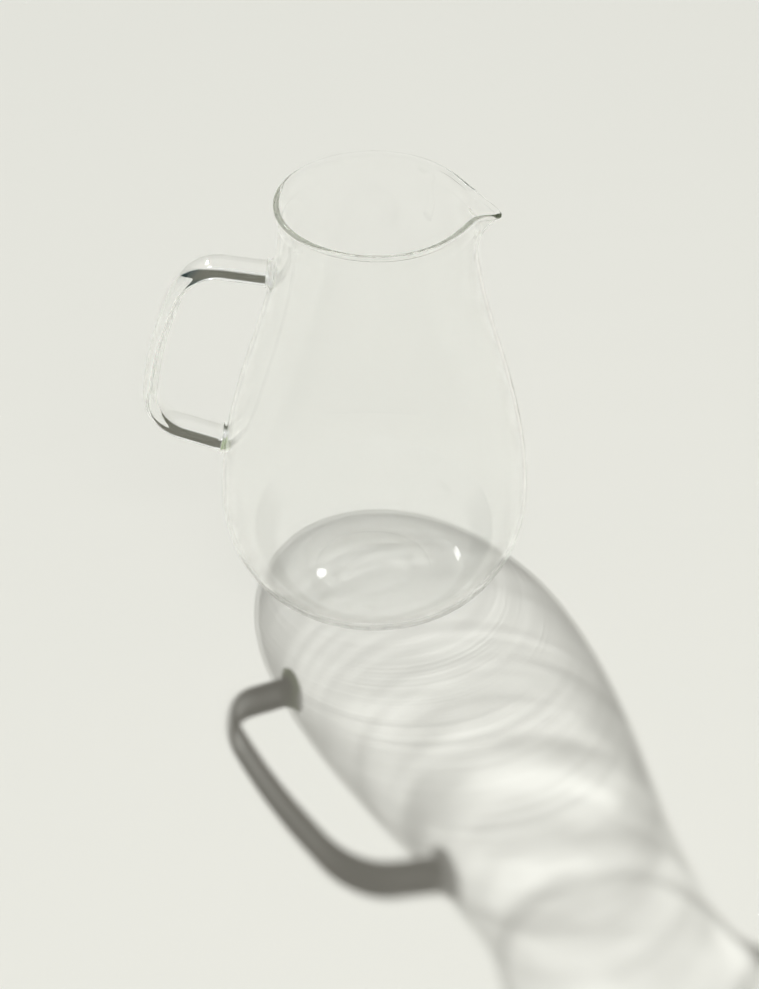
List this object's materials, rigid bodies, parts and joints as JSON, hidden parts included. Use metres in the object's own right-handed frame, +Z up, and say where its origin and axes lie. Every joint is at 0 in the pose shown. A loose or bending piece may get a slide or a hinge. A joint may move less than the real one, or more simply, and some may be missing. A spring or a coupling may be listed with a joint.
{
  "type": "glass jug",
  "caption": "Clear blown-glass pouring jug: pear-shaped body with a pulled lip, and a solid glass strap handle welded on.",
  "frame": {"origin": "middle of the foot, on the plane that the jug stands on", "axes": "+Z up along the body's axis, +X towards the pouring lip, handle towards -X, +Y across the handle's width"},
  "size_m": [0.1844, 0.1478, 0.212],
  "materials": {
    "body_glass": "clear, fire-polished, 2 mm wall",
    "handle_glass": "clear solid rod, polished",
    "weld_glass": "clear melted glass with a raised seam ring"
  },
  "bodies": {
    "root": {"jug_body": "body_glass", "handle": "handle_glass", "upper_handle_boss": "weld_glass", "lower_handle_boss": "weld_glass"}
  },
  "joints": []
}
